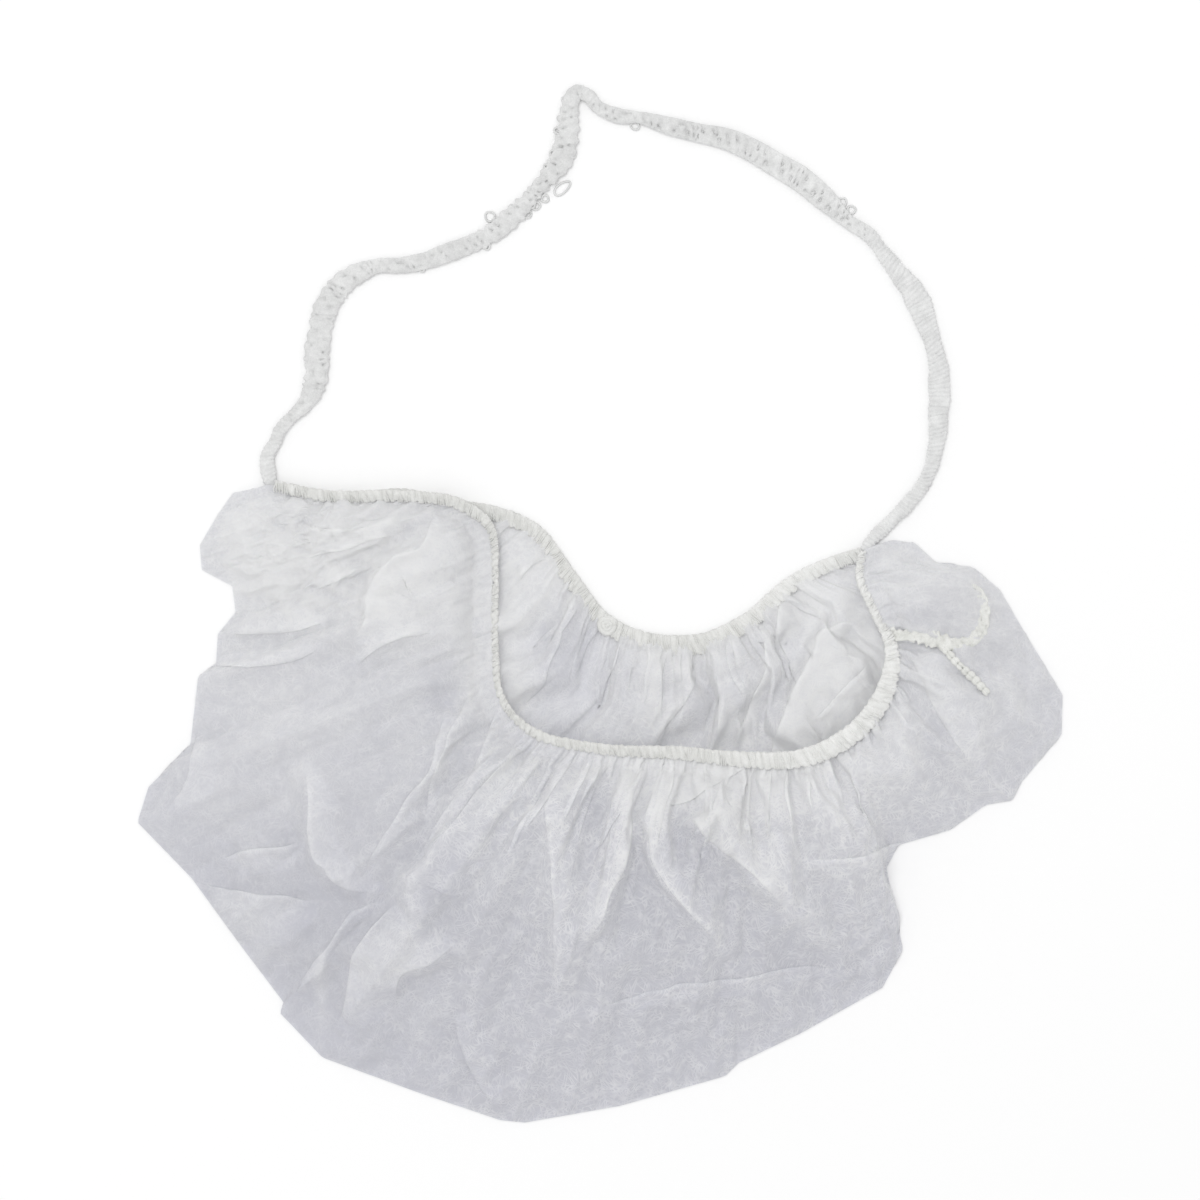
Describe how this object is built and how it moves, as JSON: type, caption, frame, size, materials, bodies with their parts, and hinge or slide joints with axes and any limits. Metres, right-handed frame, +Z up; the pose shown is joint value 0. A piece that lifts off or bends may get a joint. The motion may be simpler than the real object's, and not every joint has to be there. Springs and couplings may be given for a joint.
{
  "type": "disposable beard cover",
  "caption": "Gathered pouch of thin white nonwoven cloth with an elastic mouth edge and a head loop, lying flat with its mouth open.",
  "frame": {"origin": "on the resting surface, under the middle of the whole object's box", "axes": "+Z up from the surface the cover lies on, +Y from the pouch towards the top of the head loop, +X along the mouth to the strap end on the right"},
  "size_m": [0.259, 0.291, 0.0289],
  "materials": {
    "nonwoven_cloth": "matte, thin and slightly translucent",
    "elastic_edge": "matte overlock stitching",
    "elastic_strap": "matte knitted elastic"
  },
  "bodies": {
    "root": {"pouch": "nonwoven_cloth", "mouth_binding": "elastic_edge", "head_loop": "elastic_strap", "binding_curl": "elastic_edge", "thread_tail": "elastic_edge"}
  },
  "joints": []
}
